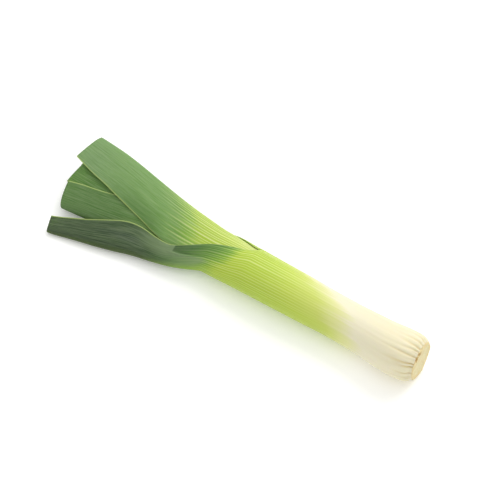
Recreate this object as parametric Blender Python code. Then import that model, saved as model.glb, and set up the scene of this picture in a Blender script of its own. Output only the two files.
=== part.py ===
"""A trimmed leek lying on its side, its leaves fanned out flat to one side of the shank.

Every leaf is one piece, as it grew: a closed tube (the sheath) from the root plate up to its own
notch, where the tube opens and runs on as a folded blade. The sheaths nest inside one another and
make the shank, and the blades are folded along their keels, which lie on alternate sides of the fan.

Frame: +X runs along the shank towards the root end, +Z is up, and the origin is the middle of the
flat spot that the shank rests on. A station is a distance from the cut face of the root plate.
"""

import math

import bmesh
import bpy
import numpy as np

MM = 0.001

# Driving dimensions, in millimetres.
REST_STATION = 60.0  # the station that lies over the origin
SHEATH_START = 3.0  # the outer sheath's lower end, behind the root plate's rim
LAYER_PITCH = (
    (3, 2.75), (12, 2.7), (30, 2.45), (48, 2.4), (100, 2.38), (150, 2.35), (185, 2.05), (215, 1.8),
    (250, 1.6), (340, 1.4), (400, 1.35),
)
WALL = ((3, 1.95), (150, 1.85), (185, 1.4), (215, 1.1), (250, 0.95), (340, 0.85), (400, 0.85))
MARGIN_THINNING = 0.75  # a blade's edge, as a share of its wall

# The outer sheath's half width and half height, and the middle of the bundle, along the stations.
HALF_WIDTH = (
    (3, 17.6), (5, 19.0), (8, 20.0), (13, 20.5), (20, 20.6), (30, 20.0), (48, 18.8), (66, 18.1), (85, 18.1),
    (104, 18.9), (125, 19.5), (145, 20.1), (165, 20.9), (200, 22.5), (400, 24),
)
HALF_HEIGHT = (
    (3, 17.4), (5, 18.6), (8, 19.4), (13, 19.9), (20, 20.0), (30, 19.6), (48, 18.7), (66, 18.1), (85, 18.1),
    (104, 18.4), (125, 18.4), (145, 18.0), (165, 17.2), (188, 15.6), (212, 13.8), (236, 12.2),
    (260, 11.2), (300, 10.2), (340, 9.4), (400, 8.6),
)
CENTRE_Y = (
    (3, 2.4), (8, 1.1), (13, 0.2), (20, -0.4), (30, -0.4), (48, 0.4), (66, 0.7), (104, -0.2),
    (140, -0.8), (165, -0.7), (200, 0), (400, 0),
)
CENTRE_Z = (
    (3, 19.0), (13, 20.2), (20, 20.2), (30, 19.25), (48, 18.3), (66, 17.7), (85, 17.7), (104, 18.0),
    (125, 18.0), (145, 17.6), (165, 16.85), (188, 16.0), (212, 15.1), (236, 14.7), (260, 15.1),
    (280, 15.8), (300, 16.5), (320, 16.6), (340, 16.5), (400, 17.0),
)
FAN_TILT = ((165, 0), (185, 4), (215, 10), (240, 12), (400, 12))  # degrees, the +Y side up
FAN_START, FAN_FULL = 168.0, 214.0  # between these the folds leave the shank's section

ROOT_SLANT = (0.044, 0.106)  # the root end is cut aslant: its -Y side and its underside reach out
ROOT_REACH, ROOT_MIDDLE = 0.6, (2.4, 19.0)
SLANT_STATIONS = (6.0, 75.0)  # the slant fades out between these

# The outer sheath is drawn in to the root plate in puckers, one for each two columns of its mesh.
PLEAT_DEPTH = ((3, 0.75), (8, 0.7), (13, 0.4), (22, 0.12), (34, 0.0))

# The leaves from the outside in, each with its keel on the side of the sign. A fold is the line of
# the keel: (station, its distance from the middle of the bundle across the fan). A margin runs from
# the notch to the tip: (station, how many degrees round from the keel that half still goes). Rims
# are the stations of the cut tip at the keel, and how its line bends on the way to the margins.
LEAVES = (
    dict(
        name="leaf_1_outer", side=-1, columns=16, blade_rows=20, keel_end=335.0, rim_bend=1.2,
        fold=((198, 22.3), (206, 26), (223, 32.6), (240, 37.2), (259, 41.6), (276, 47), (294, 52),
              (313, 56.6), (331, 61), (345, 63), (400, 67)),
        upper=((160, 142), (162.5, 131), (165, 119), (168.5, 110.5), (174.7, 104),
               (191, 90), (207, 74), (222, 62), (229.3, 57.5), (235.5, 58), (246, 61), (263, 66),
               (273, 66), (282, 63), (290, 59), (306, 51), (322, 45), (338, 39)),
        lower=((160, 218), (166, 218), (172, 212), (180, 199), (190, 181), (200, 161), (210, 139),
               (222, 110), (237, 84), (255, 66), (290, 56), (315, 47), (334, 40)),
        tube=(SHEATH_START, 4.2, 6, 9, 14, 20, 30, 48, 66, 85, 104, 125, 145, 160),
    ),
    dict(
        name="leaf_2", side=1, columns=10, blade_rows=15, keel_end=348.0, rim_bend=1.0,
        fold=((198, 19.8), (220, 22), (244, 24.7), (268, 28.2), (293, 32.2), (318, 36), (342, 38.2),
              (352, 38.8), (400, 42)),
        upper=((196, 180), (203, 165), (215, 148), (228, 135), (242, 125), (254, 117), (267, 109),
               (280, 103), (307, 93), (334, 84), (353.2, 76)),
        lower=((196, 180), (204, 160), (218, 140), (236, 124), (254, 112), (280, 100), (307, 91),
               (352, 77)),
        tube=(10, 20, 48, 66, 85, 104, 125, 145, 157, 170, 183, 196),
    ),
    dict(
        name="leaf_3", side=-1, columns=9, blade_rows=13, keel_end=337.5, rim_bend=0.6,
        fold=((198, 18.6), (215, 22), (240, 25.5), (265, 28.5), (290, 31.5), (315, 34.5), (335, 36.5),
              (400, 41)),
        upper=((210, 180), (218, 161), (232, 140), (250, 118), (270, 100), (285, 90), (298.6, 84),
               (315, 78), (335, 73), (345.5, 69)),
        lower=((210, 180), (219, 158), (236, 136), (256, 116), (280, 100), (310, 84), (343, 72)),
        tube=(10, 20, 48, 66, 85, 104, 125, 145, 157, 170, 183, 196, 210),
    ),
    dict(
        name="leaf_4", side=1, columns=8, blade_rows=11, keel_end=341.0, rim_bend=0.8,
        fold=((198, 16.2), (220, 18), (250, 20.5), (280, 23.2), (310, 26), (340, 28.5), (400, 32)),
        upper=((224, 180), (232, 160), (245, 140), (265, 128), (300, 121), (347.5, 117)),
        lower=((224, 180), (233, 158), (248, 138), (270, 120), (300, 108), (345, 98)),
        tube=(10, 20, 48, 66, 85, 104, 125, 145, 157, 170, 183, 196, 210, 224),
    ),
    dict(
        name="leaf_5", side=-1, columns=7, blade_rows=9, keel_end=328.0, rim_bend=0.8,
        fold=((198, 14.9), (220, 16.6), (250, 18.8), (280, 20.8), (310, 22.8), (340, 24.5), (400, 27)),
        upper=((236, 180), (246, 160), (262, 142), (290, 130), (334, 118)),
        lower=((236, 180), (247, 157), (264, 138), (290, 124), (333, 112)),
        tube=(10, 20, 48, 66, 85, 104, 125, 145, 157, 170, 183, 196, 210, 224, 236),
    ),
)

# The youngest leaves are still rolled up tight: one slim solid spindle in the middle.
HEART_COLUMNS = 10
HEART_LAYER = 5
HEART_FOLD = ((198, 12.3), (220, 13), (260, 13.5), (300, 12.5), (330, 11), (400, 9))
HEART_STATIONS = (
    10, 20, 48, 66, 85, 104, 125, 145, 165, 177, 188, 200, 212, 224, 236, 260, 285, 308, 322,
)

# The root plate: the cut stem that the leaves grow from, with the stubs of its trimmed roots.
# Its profile is (station, share of the radius), from the middle of the cut face to its back.
PLATE_RADIUS = 16.6
PLATE_PROFILE = (
    (0.5, 0.0), (0.15, 0.5), (0.1, 0.92), (0.9, 1.0), (2.65, 1.0), (2.75, 0.86), (6.0, 0.90),
    (9.5, 0.90), (9.5, 0.0),
)
PLATE_COLUMNS = 28
STUB_COUNT = 14
STUB_RADIUS = 0.7
STUB_LENGTH = (0.4, 1.3)
STUB_ROOTED = 2.2  # how deep a stub goes into the plate


def clear_scene():
    for obj in list(bpy.data.objects):
        bpy.data.objects.remove(obj)


def along(points, station):
    """The value at a station of a smooth line through (station, value, ...) points."""
    points = np.asarray(points, float)
    at, values = points[:, 0], points[:, 1:]
    step = np.diff(at)[:, None]
    slope = np.diff(values, axis=0) / step
    inner = (slope[1:] * step[:-1] + slope[:-1] * step[1:]) / (step[1:] + step[:-1])
    tangent = np.vstack([slope[:1], inner, slope[-1:]])
    k = int(np.clip(np.searchsorted(at, station) - 1, 0, len(at) - 2))
    span = at[k + 1] - at[k]
    t = float(np.clip((station - at[k]) / span, 0, 1))
    found = (
        (2 * t**3 - 3 * t**2 + 1) * values[k] + (t**3 - 2 * t**2 + t) * span * tangent[k]
        + (3 * t**2 - 2 * t**3) * values[k + 1] + (t**3 - t**2) * span * tangent[k + 1]
    )
    return found if len(found) > 1 else float(found[0])


def smooth(low, high, x):
    t = min(1.0, max(0.0, (x - low) / (high - low)))
    return t * t * (3 - 2 * t)


def reaches(layer, station):
    """How far a layer reaches from the bundle's middle towards -Y and towards +Y."""
    pitch = along(LAYER_PITCH, station)
    round_reach = along(HALF_WIDTH, station) - layer * pitch
    spread = smooth(FAN_START, FAN_FULL, station)
    if spread == 0:
        return round_reach, round_reach
    folds = [leaf["fold"] for leaf in LEAVES] + [HEART_FOLD]
    near = {n: along(folds[n], station) for n in (0, 2, 4)}
    far = {n: along(folds[n], station) for n in (1, 3, 5)}
    for n in (1, 3):
        near[n] = (near[n - 1] + near[n + 1]) / 2
    for n in (2, 4):
        far[n] = (far[n - 1] + far[n + 1]) / 2
    near[5] = near[4] - pitch
    far[0] = far[1] + pitch
    return (
        (1 - spread) * round_reach + spread * near[layer],
        (1 - spread) * round_reach + spread * far[layer],
    )


def placed(station, across, up):
    """A point given in the plane of the fan, as (station, y, z)."""
    tilt = math.radians(along(FAN_TILT, station)) if station > FAN_TILT[0][0] else 0.0
    y = along(CENTRE_Y, station) + across * math.cos(tilt) - up * math.sin(tilt)
    z = along(CENTRE_Z, station) + across * math.sin(tilt) + up * math.cos(tilt)
    return station, y, z


def layer_point(layer, side, station, angle):
    """A point of a layer's outside. The angle is 0 at its keel, positive above and pi opposite."""
    near, far = reaches(layer, station)
    height = along(HALF_HEIGHT, station) - layer * along(LAYER_PITCH, station)
    toward_keel = math.cos(angle) > 0
    reach = far if (side > 0) == toward_keel else near
    return side * reach * math.cos(angle), height * math.sin(angle)


def margin_path(margin):
    """The margin as (distance along it, station, angle), with its length in millimetres."""
    points = np.array(margin, float)
    steps = np.diff(points, axis=0) * (1, 0.35)
    length = np.concatenate([[0], np.cumsum(np.hypot(*steps.T))])
    return np.column_stack([length, points]), length[-1]


def leaf_section(leaf, layer, keel_station, ends):
    """The leaf's outside across one row, from the lower edge over the keel to the upper edge."""
    columns = leaf["columns"]
    found = []
    for j in range(-columns, columns + 1):
        end_station, end_angle = ends["upper" if j >= 0 else "lower"]
        angle = abs(j) / columns * end_angle
        turn = min(1, math.pi / end_angle)
        reached = ((1 - math.cos(angle * turn)) / (1 - math.cos(end_angle * turn))) ** leaf["rim_bend"]
        station = keel_station + (end_station - keel_station) * reached
        across, up = layer_point(layer, leaf["side"], station, math.copysign(angle, j))
        if layer == 0 and station < PLEAT_DEPTH[-1][0]:
            gather = along(PLEAT_DEPTH, station) * (0.5 - 0.5 * math.cos(math.pi * j))
            gather *= 0.75 + 0.25 * math.sin(2.3 * j + 1)
            across, up = across * (1 - gather / 18), up * (1 - gather / 18)
        found.append(placed(station, across, up))
    return np.array(found)


def inward_normals(section, side, closed):
    """Unit vectors across the shank that point into the fold."""
    flat = section[:, 1:]
    if closed:
        tangent = np.roll(flat[:-1], -1, axis=0) - np.roll(flat[:-1], 1, axis=0)
        tangent = np.vstack([tangent, tangent[:1]])
    else:
        tangent = np.gradient(flat, axis=0)
    normal = side * np.stack([-tangent[:, 1], tangent[:, 0]], axis=1)
    return normal / np.linalg.norm(normal, axis=1)[:, None]


def to_frame(section):
    """Rows of (station, y, z) in millimetres, as points of the part's frame in metres."""
    fade = np.array([1 - smooth(*SLANT_STATIONS, station) for station in section[:, 0]])
    slant = (ROOT_MIDDLE - section[:, 1:]) @ np.array(ROOT_SLANT)
    along_x = REST_STATION - section[:, 0] + fade * (ROOT_REACH + slant)
    return np.stack([along_x, section[:, 1], section[:, 2]], axis=1) * MM


def press_flat(section):
    """The outside, level where the shank and the outer blade's tip lie on the surface."""
    pressed = section.copy()
    pressed[:, 2] = np.maximum(pressed[:, 2], 0)
    return pressed


def leaf_rows(leaf, layer):
    """The leaf's sections, as (outside, inside) pairs, and the number of the notch's row."""
    rows = []
    for station in leaf["tube"]:
        ends = {edge: (station, math.radians(leaf[edge][0][1])) for edge in ("upper", "lower")}
        rows.append(leaf_section(leaf, layer, station, ends))
    notch_row = len(rows) - 1
    notch = leaf["tube"][-1]
    for i in range(1, leaf["blade_rows"] + 1):
        row_share = (i / leaf["blade_rows"]) ** 1.25
        ends = {}
        for edge in ("upper", "lower"):
            path, length = margin_path(leaf[edge])
            station, angle = along(path, row_share * length)
            ends[edge] = (station, math.radians(angle))
        keel_station = notch + (leaf["keel_end"] - notch) * row_share
        rows.append(leaf_section(leaf, layer, keel_station, ends))
    pairs = []
    for i, outside in enumerate(rows):
        closed = i <= notch_row
        wall = np.array([along(WALL, station) for station in outside[:, 0]])
        if not closed:
            edge_share = np.abs(np.linspace(-1, 1, len(outside)))
            wall = wall * (1 - (1 - MARGIN_THINNING) * edge_share**6)
        inside = outside.copy()
        inside[:, 1:] += inward_normals(outside, leaf["side"], closed) * wall[:, None]
        pairs.append((press_flat(outside), inside))
    return pairs, notch_row


def add_object(name, points, faces, colour, roughness):
    mesh = bpy.data.meshes.new(name)
    mesh.from_pydata([tuple(p) for p in points], [], faces)
    shell = bmesh.new()
    shell.from_mesh(mesh)
    bmesh.ops.recalc_face_normals(shell, faces=shell.faces)
    shell.to_mesh(mesh)
    shell.free()
    mesh.shade_smooth()
    mesh.set_sharp_from_angle(angle=math.radians(40))
    material = bpy.data.materials.new(name)
    material.use_nodes = True
    shader = material.node_tree.nodes["Principled BSDF"]
    shader.inputs["Base Color"].default_value = (*colour, 1)
    shader.inputs["Roughness"].default_value = roughness
    mesh.materials.append(material)
    obj = bpy.data.objects.new(name, mesh)
    bpy.context.scene.collection.objects.link(obj)
    return obj


def grid_faces(a, b, c, d):
    """Two triangles for the quad a, b, c, d, always cut from a to c."""
    return [(a, b, c), (a, c, d)]


def add_leaf(leaf, layer, colour):
    pairs, notch_row = leaf_rows(leaf, layer)
    count = 2 * leaf["columns"]
    points, number = [], {}
    for i, (outside, inside) in enumerate(pairs):
        for skin, section in (("out", outside), ("in", inside)):
            placed = to_frame(section)
            for j in range(count + 1):
                if i <= notch_row and j == count:
                    number[skin, i, j] = number[skin, i, 0]
                    continue
                number[skin, i, j] = len(points)
                points.append(placed[j])
    faces = []
    last = len(pairs) - 1
    for i in range(last):
        for j in range(count):
            corners = ((i, j), (i, j + 1), (i + 1, j + 1), (i + 1, j))
            faces += grid_faces(*(number["out", r, c] for r, c in corners))
            faces += [f[::-1] for f in grid_faces(*(number["in", r, c] for r, c in corners))]
    for i in (0, last):
        for j in range(count):
            corners = (("out", j), ("out", j + 1), ("in", j + 1), ("in", j))
            rim = [number[skin, i, c] for skin, c in corners]
            faces += grid_faces(*(rim if i else rim[::-1]))
    for i in range(notch_row, last):
        for j in (0, count):
            corners = (("out", i), ("out", i + 1), ("in", i + 1), ("in", i))
            rim = [number[skin, r, j] for skin, r in corners]
            faces += grid_faces(*(rim if j == 0 else rim[::-1]))
    return add_object(leaf["name"], points, faces, colour, 0.5)


def add_heart(colour):
    points, faces = [], []
    last = len(HEART_STATIONS) - 1
    for station in HEART_STATIONS:
        taper = 1 - 0.75 * smooth(250, HEART_STATIONS[-1], station)
        for j in range(HEART_COLUMNS):
            across, up = layer_point(HEART_LAYER, 1, station, 2 * math.pi * j / HEART_COLUMNS)
            points.append(placed(station, across * taper, up * taper))
    for i in range(last):
        for j in range(HEART_COLUMNS):
            near, far = i * HEART_COLUMNS, (i + 1) * HEART_COLUMNS
            k = (j + 1) % HEART_COLUMNS
            faces += grid_faces(near + j, near + k, far + k, far + j)
    faces.append(tuple(range(HEART_COLUMNS))[::-1])
    faces.append(tuple(range(last * HEART_COLUMNS, (last + 1) * HEART_COLUMNS)))
    return add_object("heart", to_frame(np.array(points)), faces, colour, 0.5)


def plate_point(station, radius, angle):
    """A point of the root plate, as (station, y, z)."""
    return (
        station,
        along(CENTRE_Y, max(station, 3)) + radius * math.cos(angle),
        along(CENTRE_Z, max(station, 3)) + radius * math.sin(angle),
    )


def add_root_plate(colour):
    """A turned disc with a slightly uneven rim. Its back is domed into the sheaths."""
    points, rings = [], []
    for station, share in PLATE_PROFILE:
        ring = []
        for j in range(PLATE_COLUMNS if share else 1):
            angle = 2 * math.pi * j / PLATE_COLUMNS
            uneven = 1 + 0.012 * math.sin(3 * angle + 0.7) + 0.010 * math.sin(7 * angle + 2)
            ring.append(len(points))
            radius = PLATE_RADIUS * share * (uneven if share > 0.9 else 1)
            points.append(plate_point(station, radius, angle))
        rings.append(ring)
    faces = []
    for ring, following in zip(rings[:-1], rings[1:]):
        for j in range(PLATE_COLUMNS):
            k = (j + 1) % PLATE_COLUMNS
            if len(ring) == 1:
                faces.append((ring[0], following[j], following[k]))
            elif len(following) == 1:
                faces.append((ring[j], following[0], ring[k]))
            else:
                faces += grid_faces(ring[j], following[j], following[k], ring[k])
    plate = add_object("root_plate", to_frame(np.array(points)), faces, colour, 0.8)
    add_root_stubs(plate)
    return plate


def add_root_stubs(plate):
    """Short ends of trimmed roots round the rim of the cut face, joined to the plate."""
    draw = np.random.default_rng(7)
    stubs = bpy.data.collections.new("root_stubs")
    bpy.context.scene.collection.children.link(stubs)
    for n in range(STUB_COUNT):
        angle = 2 * math.pi * (n + draw.uniform(-0.3, 0.3)) / STUB_COUNT
        radius = PLATE_RADIUS * draw.uniform(0.82, 0.92)
        foot = to_frame(np.array([plate_point(STUB_ROOTED, radius, angle)]))[0]
        lean = draw.uniform(0.1, 0.45)
        way = np.array([1, math.cos(angle) * lean, math.sin(angle) * lean])
        way /= np.linalg.norm(way)
        side = np.cross(way, [0, 0, 1])
        side /= np.linalg.norm(side)
        other = np.cross(way, side)
        length = draw.uniform(*STUB_LENGTH) + STUB_ROOTED
        points = []
        for end, size in ((0, 1.0), (length, draw.uniform(0.55, 0.85))):
            for j in range(5):
                turn = 2 * math.pi * j / 5 + n
                spoke = (side * math.cos(turn) + other * math.sin(turn)) * STUB_RADIUS * size
                points.append(foot + (way * end + spoke) * MM)
        faces = [(j, (j + 1) % 5, 5 + (j + 1) % 5, 5 + j) for j in range(5)]
        faces += [(4, 3, 2, 1, 0), (5, 6, 7, 8, 9)]
        stub = add_object("root_stub", points, faces, (0.8, 0.7, 0.5), 0.8)
        bpy.context.scene.collection.objects.unlink(stub)
        stubs.objects.link(stub)
    union = plate.modifiers.new("root stubs", "BOOLEAN")
    union.operation = "UNION"
    union.operand_type = "COLLECTION"
    union.collection = stubs
    union.solver = "EXACT"
    bpy.context.view_layer.objects.active = plate
    bpy.ops.object.modifier_apply(modifier=union.name)
    for stub in list(stubs.objects):
        bpy.data.objects.remove(stub)
    bpy.data.collections.remove(stubs)


def build():
    clear_scene()
    greens = (
        (0.42, 0.55, 0.22), (0.25, 0.42, 0.16), (0.24, 0.40, 0.16), (0.22, 0.42, 0.10), (0.30, 0.50, 0.12),
    )
    for layer, (leaf, colour) in enumerate(zip(LEAVES, greens)):
        add_leaf(leaf, layer, colour)
    add_heart((0.55, 0.68, 0.25))
    add_root_plate((0.82, 0.74, 0.52))


build()
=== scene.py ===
"""The leek, dressed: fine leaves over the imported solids, a pale floor, soft light and the camera.

The leaves are made from the same lines as the solids, on a finer mesh, in millimetres along the
stations. A station is a distance from the cut face of the root plate.
"""

import math

import bpy
import numpy as np
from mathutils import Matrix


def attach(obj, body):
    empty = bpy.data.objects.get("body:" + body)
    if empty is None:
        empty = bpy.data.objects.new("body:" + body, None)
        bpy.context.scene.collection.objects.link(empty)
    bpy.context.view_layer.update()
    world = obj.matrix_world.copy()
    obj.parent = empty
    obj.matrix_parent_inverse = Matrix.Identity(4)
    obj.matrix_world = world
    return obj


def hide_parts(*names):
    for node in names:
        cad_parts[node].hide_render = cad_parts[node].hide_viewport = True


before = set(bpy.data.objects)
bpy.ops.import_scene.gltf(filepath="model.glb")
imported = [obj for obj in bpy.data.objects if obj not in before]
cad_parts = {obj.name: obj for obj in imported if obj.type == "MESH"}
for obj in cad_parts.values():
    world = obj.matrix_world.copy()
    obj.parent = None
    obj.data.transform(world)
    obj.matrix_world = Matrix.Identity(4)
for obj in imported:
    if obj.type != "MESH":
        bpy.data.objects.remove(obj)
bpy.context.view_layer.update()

MM = 0.001

# The lines below are (station, value) points in millimetres that a smooth curve runs through.
REST_STATION = 60.0  # the station that lies over the origin
# How much smaller each layer is than the one round it, and how thick a leaf is.
LAYER_PITCH = (
    (3, 2.75), (12, 2.7), (30, 2.45), (48, 2.4), (100, 2.38), (150, 2.35), (185, 2.05), (215, 1.8),
    (250, 1.6), (340, 1.4), (400, 1.35),
)
WALL = ((3, 1.95), (150, 1.85), (185, 1.4), (215, 1.1), (250, 0.95), (340, 0.85), (400, 0.85))
# The outer sheath's half width and half height, and the middle of the bundle.
HALF_WIDTH = (
    (3, 17.6), (5, 19.0), (8, 20.0), (13, 20.5), (20, 20.6), (30, 20.0), (48, 18.8), (66, 18.1), (85, 18.1),
    (104, 18.9), (125, 19.5), (145, 20.1), (165, 20.9), (200, 22.5), (400, 24),
)
HALF_HEIGHT = (
    (3, 17.4), (5, 18.6), (8, 19.4), (13, 19.9), (20, 20.0), (30, 19.6), (48, 18.7), (66, 18.1), (85, 18.1),
    (104, 18.4), (125, 18.4), (145, 18.0), (165, 17.2), (188, 15.6), (212, 13.8), (236, 12.2),
    (260, 11.2), (300, 10.2), (340, 9.4), (400, 8.6),
)
CENTRE_Y = (
    (3, 2.4), (8, 1.1), (13, 0.2), (20, -0.4), (30, -0.4), (48, 0.4), (66, 0.7), (104, -0.2),
    (140, -0.8), (165, -0.7), (200, 0), (400, 0),
)
CENTRE_Z = (
    (3, 19.0), (13, 20.2), (20, 20.2), (30, 19.25), (48, 18.3), (66, 17.7), (85, 17.7), (104, 18.0),
    (125, 18.0), (145, 17.6), (165, 16.85), (188, 16.0), (212, 15.1), (236, 14.7), (260, 15.1),
    (280, 15.8), (300, 16.5), (320, 16.6), (340, 16.5), (400, 17.0),
)
# Past the shank the layers turn over by these degrees and spread into a fan.
FAN_TILT = ((165, 0), (185, 4), (215, 10), (240, 12), (400, 12))
FAN_START, FAN_FULL = 168.0, 214.0
# The root end is cut aslant: its -Y side and its underside reach out. The slant fades out
# between the two stations.
ROOT_SLANT = (0.044, 0.106)
ROOT_REACH, ROOT_MIDDLE = 0.6, (2.4, 19.0)
SLANT_STATIONS = (6.0, 75.0)

# The leaves from the outside in. Side is the way the keel lies, +Y or -Y, and fold its distance
# from the middle. A margin runs from the notch to the tip: (station, how many degrees round from
# the keel that half still goes). The cut tip is at keel_end on the keel, and rim_bend is how its
# line bends on the way to the margins.
LEAVES = (
    dict(
        name="leaf_1_outer", side=-1, keel_end=335.0, rim_bend=1.2, notch=160,
        fold=((198, 22.3), (206, 26), (223, 32.6), (240, 37.2), (259, 41.6), (276, 47), (294, 52),
              (313, 56.6), (331, 61), (345, 63), (400, 67)),
        upper=((160, 142), (162.5, 131), (165, 119), (168.5, 110.5), (174.7, 104),
               (191, 90), (207, 74), (222, 62), (229.3, 57.5), (235.5, 58), (246, 61), (263, 66),
               (273, 66), (282, 63), (290, 59), (306, 51), (322, 45), (338, 39)),
        lower=((160, 218), (166, 218), (172, 212), (180, 199), (190, 181), (200, 161), (210, 139),
               (222, 110), (237, 84), (255, 66), (290, 56), (315, 47), (334, 40)),
    ),
    dict(
        name="leaf_2", side=1, keel_end=348.0, rim_bend=1.0, notch=196,
        fold=((198, 19.8), (220, 22), (244, 24.7), (268, 28.2), (293, 32.2), (318, 36), (342, 38.2),
              (352, 38.8), (400, 42)),
        upper=((196, 180), (203, 165), (215, 148), (228, 135), (242, 125), (254, 117), (267, 109),
               (280, 103), (307, 93), (334, 84), (353.2, 76)),
        lower=((196, 180), (204, 160), (218, 140), (236, 124), (254, 112), (280, 100), (307, 91),
               (352, 77)),
    ),
    dict(
        name="leaf_3", side=-1, keel_end=337.5, rim_bend=0.6, notch=210,
        fold=((198, 18.6), (215, 22), (240, 25.5), (265, 28.5), (290, 31.5), (315, 34.5), (335, 36.5),
              (400, 41)),
        upper=((210, 180), (218, 161), (232, 140), (250, 118), (270, 100), (285, 90), (298.6, 84),
               (315, 78), (335, 73), (345.5, 69)),
        lower=((210, 180), (219, 158), (236, 136), (256, 116), (280, 100), (310, 84), (343, 72)),
    ),
    dict(
        name="leaf_4", side=1, keel_end=341.0, rim_bend=0.8, notch=224,
        fold=((198, 16.2), (220, 18), (250, 20.5), (280, 23.2), (310, 26), (340, 28.5), (400, 32)),
        upper=((224, 180), (232, 160), (245, 140), (265, 128), (300, 121), (347.5, 117)),
        lower=((224, 180), (233, 158), (248, 138), (270, 120), (300, 108), (345, 98)),
    ),
    dict(
        name="leaf_5", side=-1, keel_end=328.0, rim_bend=0.8, notch=236,
        fold=((198, 14.9), (220, 16.6), (250, 18.8), (280, 20.8), (310, 22.8), (340, 24.5), (400, 27)),
        upper=((236, 180), (246, 160), (262, 142), (290, 130), (334, 118)),
        lower=((236, 180), (247, 157), (264, 138), (290, 124), (333, 112)),
    ),
)
HEART_FOLD = ((198, 12.3), (220, 13), (260, 13.5), (300, 12.5), (330, 11), (400, 9))

PUCKERS, LONG_GROOVES = 24, 18
PUCKER_STATION = 3  # where the puckers are deepest
THIN_MARGIN = 0.5  # how much of the wall a blade loses at its very edge
# The outer blade's crease: where it starts, from the first share of the half width to the second,
# and how far it trails on below a third share.
CREASE_STATIONS, CREASE_SHARES = (194, 225), (0.43, 0.80)
CREASE_TRAIL, TRAIL_SHARE, TRAIL_BEND = 40, 0.42, 1.2
# The outer blade's light folds: (share, depth, first station, last station).
BLADE_FOLDS = ((0.34, 0.42, 238, 330), (0.56, 0.34, 250, 322), (0.74, 0.22, 255, 338))
FOLD_FADE, FOLD_WIDTH = 20, 0.045  # in millimetres along the leaf, and as a share across it
INNER_RELIEF_FROM = 225  # the station past which the inner skin follows the folds
GRAIN_REACH = 62  # half the girth that the grain is measured over
FAR_FROM_EDGE = 30  # the distance given where the sheath is closed and has no edge

PLATE_RADIUS = 16.6
PLATE_COLUMNS, PLATE_WAVES, ROOT_STUBS = 144, 9, 14
# The plate's profile: (share of the radius, station), from the rim of the cut face to the back.
PLATE_RIM = (
    (0.955, 0.38), (0.972, 0.5), (0.98, 0.7), (0.975, 1.0), (0.95, 1.5), (0.92, 2.1), (0.9, 2.8),
    (0.88, 3.4), (0.6, 3.6), (0.06, 3.6),
)
# Torn places on the cut face: (degrees round, distance out, size).
TORN_SPOTS = ((98, 12.8, 1.7), (106, 15.2, 1.1), (121, 15.0, 1.9))


def along(points, x):
    """The values at x of a smooth line through (x, value) points."""
    points = np.asarray(points, float)
    at, values = points[:, 0], points[:, 1]
    step = np.diff(at)
    slope = np.diff(values) / step
    inner = (slope[1:] * step[:-1] + slope[:-1] * step[1:]) / (step[1:] + step[:-1])
    tangent = np.concatenate([slope[:1], inner, slope[-1:]])
    x = np.asarray(x, float)
    k = np.clip(np.searchsorted(at, x) - 1, 0, len(at) - 2)
    span = at[k + 1] - at[k]
    t = np.clip((x - at[k]) / span, 0, 1)
    return (
        (2 * t**3 - 3 * t**2 + 1) * values[k] + (t**3 - 2 * t**2 + t) * span * tangent[k]
        + (3 * t**2 - 2 * t**3) * values[k + 1] + (t**3 - t**2) * span * tangent[k + 1]
    )


def smooth(low, high, x):
    """A soft step from 0 at low to 1 at high."""
    t = np.clip((np.asarray(x, float) - low) / (high - low), 0, 1)
    return t * t * (3 - 2 * t)


def reaches(layer, station):
    """How far a layer reaches from the bundle's middle towards -Y and towards +Y."""
    pitch = along(LAYER_PITCH, station)
    round_reach = along(HALF_WIDTH, station) - layer * pitch
    spread = smooth(FAN_START, FAN_FULL, station)
    folds = [leaf["fold"] for leaf in LEAVES] + [HEART_FOLD]
    near = {n: along(folds[n], station) for n in (0, 2, 4)}
    far = {n: along(folds[n], station) for n in (1, 3, 5)}
    for n in (1, 3):
        near[n] = (near[n - 1] + near[n + 1]) / 2
    for n in (2, 4):
        far[n] = (far[n - 1] + far[n + 1]) / 2
    near[5] = near[4] - pitch
    far[0] = far[1] + pitch
    return (
        (1 - spread) * round_reach + spread * near[layer],
        (1 - spread) * round_reach + spread * far[layer],
    )


def layer_surface(layer, side, station, angle):
    """Points (x, y, z) in millimetres on the outside of a layer."""
    near, far = reaches(layer, station)
    height = along(HALF_HEIGHT, station) - layer * along(LAYER_PITCH, station)
    reach = np.where((side > 0) == (np.cos(angle) > 0), far, near)
    across, up = side * reach * np.cos(angle), height * np.sin(angle)
    tilt = np.radians(np.where(station > FAN_TILT[0][0], along(FAN_TILT, station), 0))
    y = along(CENTRE_Y, station) + across * np.cos(tilt) - up * np.sin(tilt)
    z = along(CENTRE_Z, station) + across * np.sin(tilt) + up * np.cos(tilt)
    return in_frame(station, y, z)


def in_frame(station, y, z):
    """Stations as places along X, with the slant of the cut root end."""
    slant = ROOT_REACH + ROOT_SLANT[0] * (ROOT_MIDDLE[0] - y) + ROOT_SLANT[1] * (ROOT_MIDDLE[1] - z)
    fade = 1 - smooth(*SLANT_STATIONS, station)
    return np.stack([REST_STATION - station + fade * slant, y, z], axis=-1)


def margin_at(margin, share):
    """The station and the angle of a margin, at shares of its length."""
    points = np.array(margin, float)
    steps = np.diff(points, axis=0) * (1, 0.35)
    length = np.concatenate([[0], np.cumsum(np.hypot(*steps.T))])
    share = np.asarray(share) * length[-1]
    station = along(np.column_stack([length, points[:, 0]]), share)
    angle = along(np.column_stack([length, points[:, 1]]), share)
    return station, np.radians(angle)


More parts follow.
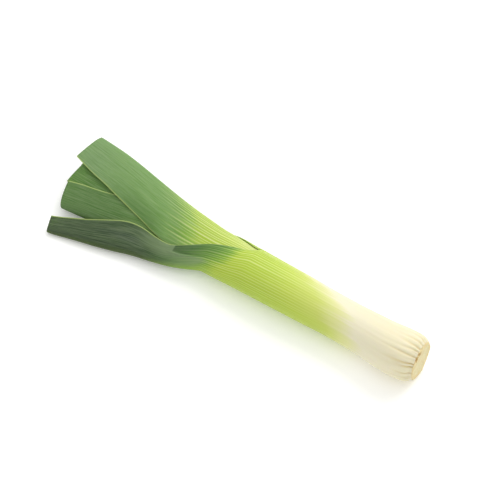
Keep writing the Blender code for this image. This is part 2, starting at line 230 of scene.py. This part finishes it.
def leaf_grid(leaf, tube_rows, blade_rows, half_columns):
    """Stations and angles of every grid point, with the row where the notch opens."""
    share = np.linspace(-1, 1, 2 * half_columns + 1)
    notch = leaf["notch"]
    tube = tube_rows[:, None] + 0 * share
    seam = np.where(share >= 0, np.radians(leaf["upper"][0][1]), np.radians(leaf["lower"][0][1]))
    tube_angle = seam * share + 0 * tube
    step = (np.arange(1, blade_rows + 1) / blade_rows) ** 1.25
    keel = notch + (leaf["keel_end"] - notch) * step
    ends = {edge: margin_at(leaf[edge], step) for edge in ("upper", "lower")}
    upper = share >= 0
    end_station = np.where(upper[None, :], ends["upper"][0][:, None], ends["lower"][0][:, None])
    end_angle = np.where(upper[None, :], ends["upper"][1][:, None], ends["lower"][1][:, None])
    angle = np.abs(share) * end_angle
    turn = np.minimum(1, np.pi / end_angle)
    reached = ((1 - np.cos(angle * turn)) / (1 - np.cos(end_angle * turn))) ** leaf["rim_bend"]
    station = keel[:, None] + (end_station - keel[:, None]) * reached
    angle = angle * np.where(upper, 1, -1)
    return np.vstack([tube, station]), np.vstack([tube_angle, angle]), share, len(tube_rows) - 1


def puckers(station, angle, draw):
    """How deep the outer sheath is drawn in at its root end: grooves of uneven length and depth."""
    depth = np.zeros_like(station)
    for n in range(PUCKERS):
        place = (2 * math.pi * (n + draw.uniform(-0.3, 0.3)) / PUCKERS) - math.pi
        length = draw.uniform(12, 32)
        width = math.radians(draw.uniform(2.6, 4.6))
        deep = draw.uniform(0.6, 1.3)
        drift = draw.uniform(-0.003, 0.003)
        gap = np.angle(np.exp(1j * (angle - place - drift * (station - PUCKER_STATION))))
        fade = np.clip(1 - (station - PUCKER_STATION) / length, 0, 1) ** 1.5
        narrow = width * (0.6 + 0.4 * smooth(0, 16, station))
        depth += deep * fade * np.exp(-((gap / narrow) ** 2))
        depth -= 0.25 * deep * fade * np.exp(-((np.abs(gap) / narrow - 2.4) ** 2))
    for _ in range(LONG_GROOVES):
        place = draw.uniform(-math.pi, math.pi)
        length = draw.uniform(40, 95)
        width = math.radians(draw.uniform(2.0, 4.5))
        deep = draw.uniform(0.12, 0.28)
        gap = np.angle(np.exp(1j * (angle - place)))
        fade = smooth(2, 16, station) * np.clip(1 - station / length, 0, 1)
        depth += deep * fade * np.exp(-((gap / width) ** 2))
    return depth


def waves(share, station, draw, count, wide, long, deep):
    """Soft uneven undulation that follows the veins, in millimetres."""
    found = np.zeros_like(station)
    for _ in range(count):
        across = draw.uniform(0.5, 1.5) * wide
        down = draw.uniform(0.5, 1.5) / long
        phase = draw.uniform(0, 6.28, 2)
        found += np.sin(across * share + phase[0]) * np.sin(down * station + phase[1])
    return deep * found / math.sqrt(count)


def normals_of(points, side, closed_rows):
    """Unit vectors square to the grid that point into the fold."""
    down = np.gradient(points, axis=0)
    across = np.gradient(points, axis=1)
    wrap = points[:closed_rows + 1]
    across[:closed_rows + 1, 0] = wrap[:, 1] - wrap[:, -2]
    across[:closed_rows + 1, -1] = across[:closed_rows + 1, 0]
    normal = np.cross(down, across)
    normal /= np.maximum(np.linalg.norm(normal, axis=-1), 1e-9)[..., None]
    return normal * side


def lip(station):
    """How far the outer sheath's last millimetres turn in against the root plate's rim."""
    return 1.25 * np.clip((4.2 - station) / 3.0, 0, 1) ** 1.4


def make_leaf(leaf, layer, tube_rows, blade_rows, half_columns, draw):
    """One leaf as a closed mesh: its outside with all relief, its inside, its cut ends and margins."""
    station, angle, share, notch_row = leaf_grid(leaf, tube_rows, blade_rows, half_columns)
    outside = layer_surface(layer, leaf["side"], station, angle)
    inward = normals_of(outside, leaf["side"], notch_row)
    probe = inward[tube_rows.size // 2, half_columns]
    if probe[1] * leaf["side"] > 0:
        inward = -inward
    wall = along(WALL, station)
    open_share = smooth(0, 6, np.arange(len(station)) - notch_row)[:, None]
    thinned = THIN_MARGIN * wall * open_share * np.abs(share)[None, :] ** 14
    relief = waves(share[None, :], station, draw, count=7, wide=9, long=34, deep=0.10)
    relief = relief * smooth(60, 150, station)
    relief = relief * (1 - np.abs(share)[None, :] ** 8 * (station <= leaf["notch"]))
    valley = 0 * station
    if layer == 0:
        valley = puckers(station, angle, draw)
        form = blade_form(station, share)
        relief = relief + valley + lip(station)
        relief = relief + form
    inside = outside + inward * wall[..., None]
    outside = outside + inward * (relief + thinned)[..., None]
    if layer:
        inside = inside + inward * relief[..., None] * 0.8
    if layer == 0:
        inside = inside + inward * (form * (station > INNER_RELIEF_FROM))[..., None]
        outside[..., 2] = np.maximum(outside[..., 2], 0)
    rows, columns = station.shape
    half_width = np.linalg.norm(np.diff(outside, axis=1), axis=-1).sum(axis=1)[:, None] / 2
    from_edge = (1 - np.abs(share))[None, :] * half_width
    edge = np.where(station > leaf["notch"], from_edge, FAR_FROM_EDGE)
    row_end = np.abs(angle[:, [0, -1]])[:, (share >= 0).astype(int)]
    open_girth = (((row_end / np.pi) ** 3 + 0.6**3) / (1 + 0.6**3)) ** (1 / 3)
    across = GRAIN_REACH * share[None, :] * open_girth
    grain = np.stack([across, station, edge], axis=-1)
    points = np.concatenate([outside.reshape(-1, 3), inside.reshape(-1, 3)]) * MM
    grains = np.concatenate([grain.reshape(-1, 3), grain.reshape(-1, 3)])
    shares = np.tile(np.broadcast_to(share, station.shape).ravel(), 2)
    valley = np.concatenate([valley.ravel(), 0 * valley.ravel()])
    number = np.arange(rows * columns).reshape(rows, columns)
    corners = leaf_faces(number, notch_row)
    number[:notch_row + 1, -1] = number[:notch_row + 1, 0]
    values = dict(valley=valley, share=shares)
    faces = leaf_faces(number, notch_row)
    return mesh_object(leaf["name"] + "_skin", points, faces, corners, grains, values)


def leaf_faces(number, notch_row):
    """Quads over the two skins of a leaf, its two cut ends and its two margins."""
    inner = number + number.size
    faces = [
        np.stack([number[:-1, :-1], number[:-1, 1:], number[1:, 1:], number[1:, :-1]], -1).reshape(-1, 4),
        np.stack([inner[:-1, :-1], inner[1:, :-1], inner[1:, 1:], inner[:-1, 1:]], -1).reshape(-1, 4),
    ]
    for row, turn in ((0, 1), (-1, -1)):
        strip = np.stack([number[row, 1:], number[row, :-1], inner[row, :-1], inner[row, 1:]], -1)
        faces.append(strip[:, ::turn])
    for column, turn in ((0, 1), (-1, -1)):
        strip = np.stack([number[notch_row:-1, column], number[notch_row + 1:, column],
                          inner[notch_row + 1:, column], inner[notch_row:-1, column]], -1)
        faces.append(strip[:, ::turn])
    return np.concatenate(faces)


def blade_form(station, share):
    """The outer blade's crease, where it turns away from the bundle, and its light folds beyond it."""
    first, last = CREASE_STATIONS
    trail = CREASE_TRAIL * np.clip(TRAIL_SHARE - share, 0, 1) ** TRAIL_BEND
    crease_at = first + (last - first) * smooth(*CREASE_SHARES, share) + trail
    past = station - crease_at
    reach = smooth(0.30, 0.66, share)
    ridge = -0.7 * np.exp(-(((past - 2.8) / 2.8) ** 2)) + 0.35 * np.exp(-(((past + 3) / 3.2) ** 2))
    folds = 0
    for place, deep, near, far in BLADE_FOLDS:
        drift = place + 0.05 * np.sin(station / 17.0 + place * 9)
        span = smooth(near, near + FOLD_FADE, station) * (1 - smooth(far - FOLD_FADE, far, station))
        folds = folds + deep * span * np.exp(-(((share - drift) / FOLD_WIDTH) ** 2))
    return ridge * reach + folds


def mesh_object(name, points, faces, corners, grains, values):
    """A smooth mesh that keeps each value at its face corners: corners holds the row of each value."""
    mesh = bpy.data.meshes.new(name)
    used = np.unique(faces)
    order = np.full(len(points), -1)
    order[used] = np.arange(len(used))
    mesh.from_pydata(points[used].tolist(), [], order[faces].tolist())
    row = corners.ravel()
    grain = mesh.attributes.new("grain", "FLOAT_VECTOR", "CORNER")
    grain.data.foreach_set("vector", grains[row].astype(np.float32).ravel())
    for label, numbers in values.items():
        layer = mesh.attributes.new(label, "FLOAT", "CORNER")
        layer.data.foreach_set("value", numbers[row].astype(np.float32))
    mesh.shade_smooth()
    obj = bpy.data.objects.new(name, mesh)
    bpy.context.scene.collection.objects.link(obj)
    return obj


class Nodes:
    """Short ways to wire a material's nodes."""

    def __init__(self, name):
        self.material = bpy.data.materials.new(name)
        self.material.use_nodes = True
        self.tree = self.material.node_tree
        self.shader = self.tree.nodes["Principled BSDF"]

    def add(self, kind, **values):
        node = self.tree.nodes.new(kind)
        for key, value in values.items():
            setattr(node, key, value)
        return node

    def link(self, source, target):
        self.tree.links.new(source, target)

    def put(self, socket, value):
        if hasattr(value, "is_output"):
            self.link(value, socket)
        else:
            socket.default_value = value

    def math(self, operation, *values, clamp=False):
        node = self.add("ShaderNodeMath", operation=operation, use_clamp=clamp)
        for socket, value in zip(node.inputs, values):
            self.put(socket, value)
        return node.outputs[0]

    def grain(self):
        node = self.add("ShaderNodeAttribute", attribute_name="grain")
        split = self.add("ShaderNodeSeparateXYZ")
        self.link(node.outputs["Vector"], split.inputs[0])
        return split.outputs

    def vector(self, *values):
        node = self.add("ShaderNodeCombineXYZ")
        for socket, value in zip(node.inputs, values):
            self.put(socket, value)
        return node.outputs[0]

    def noise(self, place, scale=1.0, detail=2.0, rough=0.5):
        node = self.add("ShaderNodeTexNoise")
        self.link(place, node.inputs["Vector"])
        node.inputs["Scale"].default_value = scale
        node.inputs["Detail"].default_value = detail
        node.inputs["Roughness"].default_value = rough
        return node.outputs["Fac"]

    def ramp(self, factor, stops):
        node = self.add("ShaderNodeValToRGB")
        self.put(node.inputs[0], factor)
        marks = node.color_ramp.elements
        while len(marks) < len(stops):
            marks.new(0.5)
        for mark, (place, colour) in zip(marks, stops):
            mark.position = place
            mark.color = (*linear(colour), 1)
        return node.outputs[0]

    def mix(self, factor, first, second, blend="MIX"):
        node = self.add("ShaderNodeMix", data_type="RGBA", blend_type=blend)
        self.put(node.inputs[0], factor)
        for socket, value in ((node.inputs[6], first), (node.inputs[7], second)):
            if isinstance(value, tuple):
                value = (*linear(value), 1)
            self.put(socket, value)
        return node.outputs[2]

    def range(self, value, low, high, first=0.0, last=1.0):
        node = self.add("ShaderNodeMapRange")
        for socket, number in zip(node.inputs, (value, low, high, first, last)):
            self.put(socket, number)
        return node.outputs[0]

    def bump(self, height, strength, distance, normal=None):
        node = self.add("ShaderNodeBump")
        node.inputs["Strength"].default_value = strength
        node.inputs["Distance"].default_value = distance
        self.link(height, node.inputs["Height"])
        if normal is not None:
            self.link(normal, node.inputs["Normal"])
        return node.outputs[0]


def linear(colour):
    """An sRGB colour of 0 to 255 as linear values."""
    values = []
    for c in colour:
        c = c / 255
        values.append(c / 12.92 if c <= 0.04045 else ((c + 0.055) / 1.055) ** 2.4)
    return tuple(values)


RING = 19.85  # the radius that the grain is wound on, so that it closes round the sheath
RIBS = 52  # veins on that ring
RAMP_END = 420.0  # the station at the end of the colour ramps

VEIN_LIGHT, VEIN_DARK = (232, 242, 160), (134, 168, 24)
MOTTLE_LIGHT, MOTTLE_DARK = (150, 168, 128), (46, 72, 34)
# The first is waxy bloom with a painted highlight, the second grey bloom.
BLOOM_AND_HIGHLIGHT, BLOOM_GREY = (138, 160, 116), (104, 108, 112)
# Painted shade colours: a shadow near a far margin, the shank's low side and the blade's low side.
PAINTED_MARGIN_SHADOW, SHANK_SHADE, BLADE_SHADE = (58, 98, 36), (160, 190, 44), (18, 32, 15)
# The first colour on the next line is a paler cut edge. The second is painted shade for the pucker valleys.
PALE_EDGE, PUCKER_VALLEY_SHADE = (176, 200, 112), (224, 201, 128)


def leaf_material(name, stops, lobe, veined, veins=1.0, bloom=0.0, deep=0.0):
    """Leaf tissue: the colour runs from the white base to the green tip, in streaks along the veins.

    Stops are (station, colour). Lobe shifts them at the far side of the shank and of the blade.
    Veined is where the ribs fade, veins how strong they are, bloom the waxy bloom with a painted
    highlight past the crease, which also switches on painted shade on the low side of the shank and
    of the blade, and deep how strong the painted shadow is that the outer leaf casts on the far margin.
    """
    n = Nodes(name)
    across, station, edge = n.grain()
    share = n.add("ShaderNodeAttribute", attribute_name="share").outputs["Fac"]
    turn = n.math("DIVIDE", across, RING)
    ring = [n.math("MULTIPLY", n.math(way, turn), RING) for way in ("COSINE", "SINE")]

    def grained(wide, long, seed, detail=2.0, rough=0.5):
        """Noise drawn out along the veins. It closes round the sheath."""
        place = n.vector(n.math("MULTIPLY", ring[0], wide), n.math("MULTIPLY", station, long),
                         n.math("ADD", n.math("MULTIPLY", ring[1], wide), seed))
        return n.noise(place, 1.0, detail, rough)

    upper = n.math("MAXIMUM", share, 0.0)
    pale_side = n.math("MAXIMUM", upper, n.range(share, -0.45, -1.0))
    streak = grained(0.5, 0.005, 3.1, 4.0, 0.62)
    broad = grained(0.10, 0.010, 7.7, 2.0)
    wander = n.math("ADD", n.math("MULTIPLY", n.math("SUBTRACT", streak, 0.5), 30.0),
                    n.math("MULTIPLY", n.math("SUBTRACT", broad, 0.5), 18.0))
    base_lobe, tip_lobe = lobe
    base_lean = n.math("MULTIPLY", n.math("POWER", pale_side, 1.8), base_lobe)
    base_lean = n.math("MULTIPLY", base_lean, n.range(station, 150.0, 110.0))
    tip_lean = n.math("MULTIPLY", n.range(station, 150.0, 180.0), tip_lobe)
    tip_lean = n.math("MULTIPLY", n.math("POWER", upper, 1.5), tip_lean)
    lean = n.math("ADD", base_lean, tip_lean)
    age = n.math("ADD", n.math("ADD", station, wander), lean)
    marks = [(mark / RAMP_END, tone) for mark, tone in stops]
    colour = n.ramp(n.math("DIVIDE", age, RAMP_END), marks)
    uneven = grained(0.25, 0.004, 9.4, 2.0)
    wound = n.math("MULTIPLY", across, RIBS / RING)
    fine = n.math("SINE", n.math("ADD", wound, n.math("MULTIPLY", uneven, 9.0)))
    vein = n.math("POWER", n.range(fine, -1.0, 1.0), 2.5)
    band = n.math("MULTIPLY", n.range(station, 70.0, 130.0), n.range(age, veined + 40.0, veined, 0.08, 1.0))
    patchy = n.range(grained(0.4, 0.012, 1.3), 0.35, 0.65, 0.4, 1.0)
    strength = n.math("MULTIPLY", n.math("MULTIPLY", vein, band), n.math("MULTIPLY", patchy, 0.55 * veins))
    colour = n.mix(strength, colour, VEIN_LIGHT)
    dark = n.math("MULTIPLY", n.math("MULTIPLY", n.math("SUBTRACT", 1.0, vein), band), 0.14 * veins)
    colour = n.mix(dark, colour, VEIN_DARK)
    mottle = grained(1.5, 0.05, 5.0, 4.0, 0.65)
    green = n.range(age, 190.0, 250.0)
    light = n.math("MULTIPLY", n.range(mottle, 0.35, 0.65, 0.0, 0.34), green)
    colour = n.mix(light, colour, MOTTLE_LIGHT)
    dull = n.math("MULTIPLY", n.range(mottle, 0.55, 0.30, 0.0, 0.20), green)
    colour = n.mix(dull, colour, MOTTLE_DARK)
    # Painted shadow: the blade is darkened near its far margin, where the outer leaf shades it.
    if deep:
        near = n.math("MULTIPLY", n.range(edge, 13.0, 3.0), n.range(share, 0.3, 0.5))
        span = n.math("MULTIPLY", n.range(station, 240.0, 256.0), n.range(station, 315.0, 280.0))
        near = n.math("MULTIPLY", near, span)
        colour = n.mix(n.math("MULTIPLY", near, deep), colour, PAINTED_MARGIN_SHADOW)
    if bloom:
        # Waxy bloom with a painted highlight in a band just past the crease, fading towards the tip; then
        # grey bloom in patches and painted shade below.
        rise = n.range(share, *CREASE_SHARES, *CREASE_STATIONS)
        rise.node.interpolation_type = "SMOOTHSTEP"
        back = n.math("POWER", n.range(share, TRAIL_SHARE, TRAIL_SHARE - 1), TRAIL_BEND)
        crease_at = n.math("ADD", rise, n.math("MULTIPLY", back, CREASE_TRAIL))
        past = n.math("SUBTRACT", station, crease_at)
        blur = n.range(share, 0.78, 0.58, 1.0, 9.0)
        start = n.math("ADD", n.math("DIVIDE", past, blur), 0.45, clamp=True)
        bloom_highlight_mask = n.math("MULTIPLY", start, n.range(past, 40.0, 8.0))
        bloom_highlight_mask = n.math("MULTIPLY", bloom_highlight_mask, n.range(share, 0.08, 0.32))
        colour = n.mix(n.math("MULTIPLY", bloom_highlight_mask, bloom), colour, BLOOM_AND_HIGHLIGHT)
        patch = n.math("MULTIPLY", n.range(station, 244.0, 262.0), n.range(station, 300.0, 272.0))
        patch = n.math("MULTIPLY", patch, n.range(broad, 0.4, 0.6))
        colour = n.mix(n.math("MULTIPLY", patch, bloom * 0.22), colour, BLOOM_GREY)
        # Painted shade: the shank's low side, past station 84, is darkened towards a deeper lime.
        shade = n.math("MULTIPLY", n.range(share, 0.34, 0.02), n.range(station, 62.0, 84.0))
        colour = n.mix(n.math("MULTIPLY", shade, 0.32), colour, SHANK_SHADE)
        # Painted shade: the outer blade's lower part is darkened towards near black.
        low = n.math("MULTIPLY", n.range(share, 0.55, 0.15), n.range(station, 215.0, 250.0))
        colour = n.mix(n.math("MULTIPLY", low, 0.6), colour, BLADE_SHADE)
    rim = n.math("MULTIPLY", n.range(edge, 0.60, 0.35), n.range(station, 150.0, 166.0))
    colour = n.mix(n.math("MULTIPLY", rim, 0.75), colour, PALE_EDGE)
    # Painted shade: the pucker valleys are darkened towards tan by how deep they are.
    valley = n.add("ShaderNodeAttribute", attribute_name="valley").outputs["Fac"]
    colour = n.mix(n.range(valley, 0.10, 0.9, 0.0, 0.60), colour, PUCKER_VALLEY_SHADE)
    n.put(n.shader.inputs["Base Color"], colour)
    n.put(n.shader.inputs["Roughness"], n.range(mottle, 0.3, 0.7, 0.38, 0.50))
    n.shader.inputs["Specular IOR Level"].default_value = 0.28
    n.shader.inputs["Subsurface Weight"].default_value = 0.20
    n.shader.inputs["Subsurface Radius"].default_value = (0.0035, 0.0045, 0.0018)
    n.shader.inputs["Subsurface Scale"].default_value = 1.0
    raised = n.math("ADD", n.math("MULTIPLY", vein, band), n.math("MULTIPLY", streak, 0.8))
    ribs = n.bump(raised, 0.25, 0.0005)
    cells = grained(6.0, 1.6, 2.0, 3.0)
    n.link(n.bump(cells, 0.06, 0.0002, ribs), n.shader.inputs["Normal"])
    return n.material


def plate_grid(draw):
    """The cut root plate as rings of (station, y, z): a cut face, a rounded rim and a short side."""
    angle = np.linspace(0, 2 * math.pi, PLATE_COLUMNS, endpoint=False)
    face = [(r, 0.45 - 0.1 * r) for r in np.linspace(0.06, 0.93, 26)]
    share, station = np.array(face + list(PLATE_RIM)).T
    uneven = 1 + 0.012 * np.sin(3 * angle + 0.7) + 0.010 * np.sin(7 * angle + 2)
    uneven = uneven + 0.004 * np.sin(19 * angle + 1)
    radius = share[:, None] * PLATE_RADIUS * (1 + (uneven - 1) * smooth(0.6, 0.95, share)[:, None]) * 0.985
    station = station[:, None] + 0 * radius
    across, up = radius * np.cos(angle), radius * np.sin(angle)
    on_face = smooth(1.4, 0.9, station)
    for _ in range(PLATE_WAVES):
        way, size, phase = draw.uniform(0, 6.28), draw.uniform(0.25, 1.1), draw.uniform(0, 6.28)
        down = across * math.cos(way) + up * math.sin(way)
        station = station + 0.055 * on_face * np.sin(size * down + phase)
    # The stubs stand where the solid's do, so the two draws that shape only the solid are drawn too.
    stubs = np.random.default_rng(7)
    for n in range(ROOT_STUBS):
        at = 2 * math.pi * (n + stubs.uniform(-0.3, 0.3)) / ROOT_STUBS
        out = PLATE_RADIUS * stubs.uniform(0.82, 0.92)
        stubs.uniform(0.1, 0.45)
        length = stubs.uniform(0.4, 1.3)
        stubs.uniform(0.55, 0.85)
        gap = np.hypot(across - out * math.cos(at), up - out * math.sin(at))
        station = station - on_face * (0.1 + 0.35 * length) * np.exp(-((gap / 0.8) ** 4))
    for turn, out, size in TORN_SPOTS:
        turn = math.radians(turn)
        tear = np.hypot(across - out * math.cos(turn), up - out * math.sin(turn))
        station = station + 0.6 * on_face * np.exp(-((tear / size) ** 2))
    return station, across, up


def make_plate(draw):
    """The root plate as a closed mesh: its rings, and a fan of triangles at each end."""
    station, across, up = plate_grid(draw)
    y = along(CENTRE_Y, 3) + across
    z = along(CENTRE_Z, 3) + up
    points = in_frame(station, y, z)
    rows, columns = station.shape
    middles = np.stack([points[0].mean(axis=0), points[-1].mean(axis=0)])
    number = np.arange(rows * columns).reshape(rows, columns)
    following = np.roll(number, -1, axis=1)
    rings = np.stack([number[:-1], following[:-1], following[1:], number[1:]], -1)
    faces = rings.reshape(-1, 4).tolist()
    faces += [(int(b), int(a), rows * columns) for a, b in zip(number[0], following[0])]
    faces += [(int(a), int(b), rows * columns + 1) for a, b in zip(number[-1], following[-1])]
    mesh = bpy.data.meshes.new("root_plate_cut")
    mesh.from_pydata((np.concatenate([points.reshape(-1, 3), middles]) * MM).tolist(), [], faces)
    mesh.validate()
    mesh.shade_smooth()
    obj = bpy.data.objects.new("root_plate_cut", mesh)
    bpy.context.scene.collection.objects.link(obj)
    return obj


def plate_material():
    """The cut root plate: pale corky tissue, tanner at its rim, with pores and torn brown spots."""
    n = Nodes("root_plate_tissue")
    place = n.add("ShaderNodeTexCoord").outputs["Object"]
    middle = (0.0585, ROOT_MIDDLE[0] * MM, ROOT_MIDDLE[1] * MM)
    away = n.add("ShaderNodeVectorMath", operation="SUBTRACT")
    n.link(place, away.inputs[0])
    away.inputs[1].default_value = middle
    flat = n.add("ShaderNodeVectorMath", operation="MULTIPLY")
    n.link(away.outputs[0], flat.inputs[0])
    flat.inputs[1].default_value = (0, 1, 1)
    far = n.add("ShaderNodeVectorMath", operation="LENGTH")
    n.link(flat.outputs[0], far.inputs[0])
    grain = n.noise(place, 1100.0, 4.0, 0.7)
    cloud = n.noise(place, 170.0, 3.0)
    ring = n.math("ADD", far.outputs["Value"], n.math("MULTIPLY", n.math("SUBTRACT", cloud, 0.5), 0.006))
    colour = n.mix(n.range(cloud, 0.35, 0.65), (240, 229, 186), (233, 218, 166))
    colour = n.mix(n.range(ring, 0.0105, 0.0165, 0.0, 0.85), colour, (240, 218, 162))
    colour = n.mix(n.range(grain, 0.50, 0.72, 0.0, 0.45), colour, (196, 170, 112))
    ragged = n.math("MULTIPLY", n.math("SUBTRACT", n.noise(place, 650.0, 3.0), 0.5), 0.004)
    for turn, out, size in TORN_SPOTS:
        y = ROOT_MIDDLE[0] + out * math.cos(math.radians(turn))
        z = ROOT_MIDDLE[1] + out * math.sin(math.radians(turn))
        tear = n.add("ShaderNodeVectorMath", operation="DISTANCE")
        n.link(place, tear.inputs[0])
        tear.inputs[1].default_value = in_frame(0.4, y, z) * MM
        reach = n.math("ADD", tear.outputs["Value"], ragged)
        colour = n.mix(n.range(reach, 1.5 * size * MM, 0.5 * size * MM, 0.0, 0.85), colour, (176, 132, 58))
    n.put(n.shader.inputs["Base Color"], colour)
    n.shader.inputs["Roughness"].default_value = 0.8
    n.shader.inputs["Specular IOR Level"].default_value = 0.25
    n.shader.inputs["Subsurface Weight"].default_value = 0.15
    n.shader.inputs["Subsurface Radius"].default_value = (0.003, 0.002, 0.001)
    n.shader.inputs["Subsurface Scale"].default_value = 1.0
    n.link(n.bump(grain, 0.45, 0.0005, n.bump(cloud, 0.3, 0.0006)), n.shader.inputs["Normal"])
    return n.material


# What leaf_material takes for each leaf.
CREAM, CREAM_LIME, LIME = (241, 235, 204), (222, 226, 150), (190, 209, 88)
TISSUE = dict(
    leaf_1_outer=dict(
        stops=[(0, (240, 231, 196)), (44, CREAM), (57, (231, 231, 166)), (78, (210, 221, 112)),
               (108, (199, 217, 88)), (138, (188, 211, 76)), (186, (179, 203, 62)),
               (199, (120, 166, 48)), (212, (86, 136, 48)), (238, (66, 104, 46)),
               (258, (43, 72, 34)), (330, (40, 62, 37))],
        # bloom: the waxy bloom with its painted highlight past the crease, which also turns on the painted
        # shade.
        bloom=0.6, lobe=(-54.0, 31.0), veined=195.0),
    leaf_2=dict(
        stops=[(0, CREAM), (150, CREAM_LIME), (200, (184, 206, 74)), (234, (174, 202, 60)),
               (245, (136, 179, 58)), (262, (105, 151, 66)), (330, (112, 152, 84)),
               (400, (114, 147, 98))],
        # deep: how strong the painted shadow near the far margin is.
        lobe=(0.0, 47.0), veined=240.0, veins=1.5, deep=0.45),
    leaf_3=dict(
        stops=[(0, CREAM), (150, CREAM_LIME), (210, LIME), (245, (104, 149, 56)), (290, (78, 118, 51)),
               (360, (78, 116, 56))],
        lobe=(0.0, 8.0), veined=215.0),
    leaf_4=dict(
        stops=[(0, CREAM), (170, CREAM_LIME), (225, LIME), (270, (110, 158, 56)), (315, (76, 122, 43)),
               (360, (74, 117, 41))],
        lobe=(0.0, 6.0), veined=230.0),
    leaf_5=dict(
        stops=[(0, CREAM), (190, CREAM_LIME), (250, LIME), (300, (104, 148, 56)), (360, (82, 126, 50))],
        lobe=(0.0, 4.0), veined=250.0),
)

# How fine each mesh is: the stations of its rows up to the notch, its rows past it, and its
# columns on each side of the keel. The outer sheath is finest at the puckers.
PUCKERED_ROWS = np.unique(np.concatenate([np.linspace(1.0, 30, 52), np.linspace(30, 160, 62)]))
FINE = dict(
    leaf_1_outer=(PUCKERED_ROWS, 98, 115),
    leaf_2=(np.linspace(150, 196, 20), 110, 80),
    leaf_3=(np.linspace(170, 210, 14), 80, 60),
    leaf_4=(np.linspace(180, 224, 12), 60, 50),
    leaf_5=(np.linspace(190, 236, 12), 50, 40),
)

for layer, leaf in enumerate(LEAVES):
    draw = np.random.default_rng(40 + layer)
    piece = make_leaf(leaf, layer, *FINE[leaf["name"]], draw)
    piece.data.materials.append(leaf_material(leaf["name"] + "_tissue", **TISSUE[leaf["name"]]))
    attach(piece, "root")
    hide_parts(leaf["name"])


def dress(name, material):
    """Gives a carried-over solid its material."""
    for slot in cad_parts[name].material_slots:
        slot.material = material


def heart_material():
    """The rolled young leaves: cream to lime, with fine streaks along them."""
    n = Nodes("heart_tissue")
    place = n.add("ShaderNodeTexCoord").outputs["Object"]
    split = n.add("ShaderNodeSeparateXYZ")
    n.link(place, split.inputs[0])
    drawn_out = [n.math("MULTIPLY", axis, scale) for axis, scale in zip(split.outputs, (12.0, 900.0, 900.0))]
    streak = n.noise(n.vector(*drawn_out), 1.0, 3.0)
    stops = [(0.0, CREAM), (0.55, CREAM_LIME), (0.8, LIME), (1.0, (150, 188, 76))]
    colour = n.ramp(n.range(split.outputs[0], 0.05, -0.26), stops)
    colour = n.mix(n.range(streak, 0.4, 0.7, 0.0, 0.3), colour, (228, 236, 168))
    n.put(n.shader.inputs["Base Color"], colour)
    n.shader.inputs["Roughness"].default_value = 0.45
    n.link(n.bump(streak, 0.3, 0.0005), n.shader.inputs["Normal"])
    return n.material


plate = make_plate(np.random.default_rng(11))
plate.data.materials.append(plate_material())
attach(plate, "root")
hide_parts("root_plate")
dress("heart", heart_material())

# The floor is a hair under the solids, so that they never share a face with it.
FLOOR_HALF, FLOOR_Z = 3, -0.00005
floor_corners = [(x * FLOOR_HALF, y * FLOOR_HALF, FLOOR_Z) for x, y in ((-1, -1), (1, -1), (1, 1), (-1, 1))]
floor_mesh = bpy.data.meshes.new("floor")
floor_mesh.from_pydata(floor_corners, [], [(0, 1, 2, 3)])
floor = bpy.data.objects.new("floor", floor_mesh)
bpy.context.scene.collection.objects.link(floor)
paper = Nodes("floor_white")
sheet = paper.noise(paper.add("ShaderNodeTexCoord").outputs["Object"], 300.0, 3.0)
white = paper.mix(paper.range(sheet, 0.3, 0.7), (250, 250, 248), (252, 252, 251))
paper.put(paper.shader.inputs["Base Color"], white)
paper.shader.inputs["Roughness"].default_value = 0.9
paper.shader.inputs["Emission Color"].default_value = (1, 1, 0.97, 1)
paper.shader.inputs["Emission Strength"].default_value = 0.18
paper.shader.inputs["Specular IOR Level"].default_value = 0.1
floor_mesh.materials.append(paper.material)

# The camera looks down at the photograph's angle.
ELEVATION = math.radians(55)
AZIMUTH = math.atan(0.561 / math.sin(ELEVATION))
camera_data = bpy.data.cameras.new("camera")
camera_data.lens = 85
camera_data.sensor_width = 36
camera_data.clip_end = 20
camera = bpy.data.objects.new("camera", camera_data)
camera.location = (0.2103, -0.4559, 0.8335)
camera.rotation_euler = (math.pi / 2 - ELEVATION, 0, AZIMUTH)
bpy.context.scene.collection.objects.link(camera)
bpy.context.scene.camera = camera


AIM = (-0.08, 0, 0)


def area_light(name, place, size, power):
    """A white rectangular light that faces the leek."""
    data = bpy.data.lights.new(name, "AREA")
    data.shape = "RECTANGLE"
    data.size, data.size_y = size
    data.energy = power
    light = bpy.data.objects.new(name, data)
    light.location = place
    away = np.array(place) - np.array(AIM)
    flat = math.hypot(away[0], away[1])
    light.rotation_euler = (math.atan2(flat, away[2]), 0, math.atan2(away[1], away[0]) + math.pi / 2)
    bpy.context.scene.collection.objects.link(light)


area_light("key_behind", (-0.10, 1.15, 1.25), (1.6, 0.9), 15)
area_light("top", (0.15, 0.1, 1.7), (1.8, 1.8), 9)
area_light("fill_front", (-0.6, -1.5, 0.9), (1.2, 0.9), 2)

world = bpy.data.worlds.new("studio")
world.use_nodes = True
background = world.node_tree.nodes["Background"]
background.inputs[0].default_value = (1, 1, 1, 1)
background.inputs[1].default_value = 0.53
bpy.context.scene.world = world
bpy.context.scene.view_settings.view_transform = "Standard"
